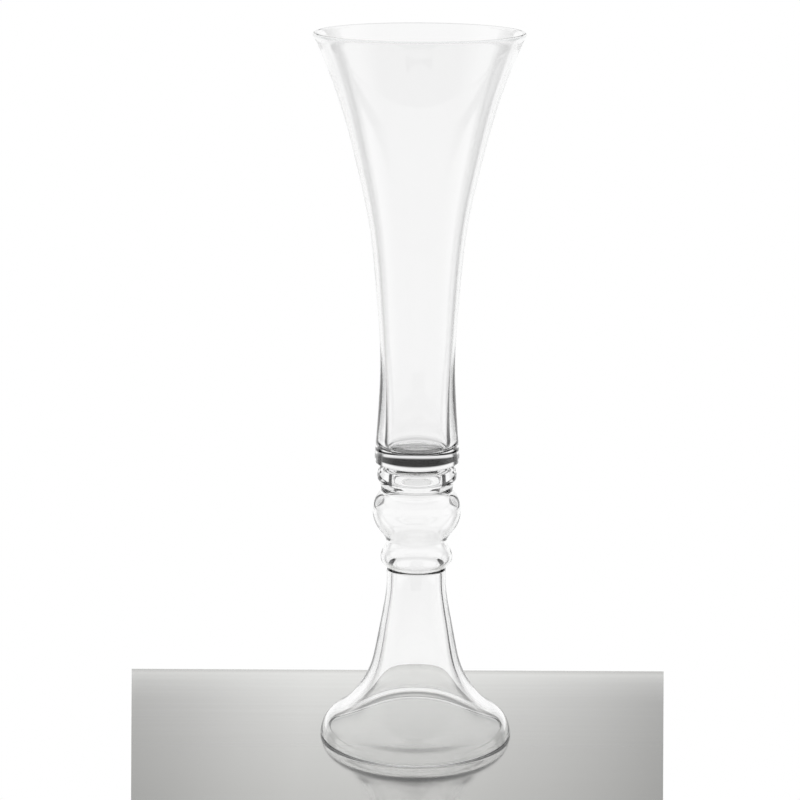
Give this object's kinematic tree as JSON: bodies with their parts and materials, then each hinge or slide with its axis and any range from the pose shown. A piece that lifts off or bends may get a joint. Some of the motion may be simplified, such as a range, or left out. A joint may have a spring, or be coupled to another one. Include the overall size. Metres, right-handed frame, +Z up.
{
  "type": "trumpet vase",
  "caption": "Tall clear glass vase: a trumpet-shaped bowl with a thick heel, bonded on a hollow baluster stem that flares into a bell foot.",
  "frame": {"origin": "middle of the ground rim that the vase stands on, in the plane of the table", "axes": "+Z up along the axis of the vase, through the middle of the mouth; X and Y are equal, because the vase is round"},
  "size_m": [0.1752, 0.1752, 0.61],
  "materials": {
    "clear_glass": "fire-polished, colourless, ground flat on the rim and at the joint",
    "clear_adhesive": "cured clear film between two ground faces"
  },
  "bodies": {
    "root": {"trumpet_bowl": "clear_glass", "stem_foot": "clear_glass", "adhesive_bond": "clear_adhesive"}
  },
  "joints": []
}
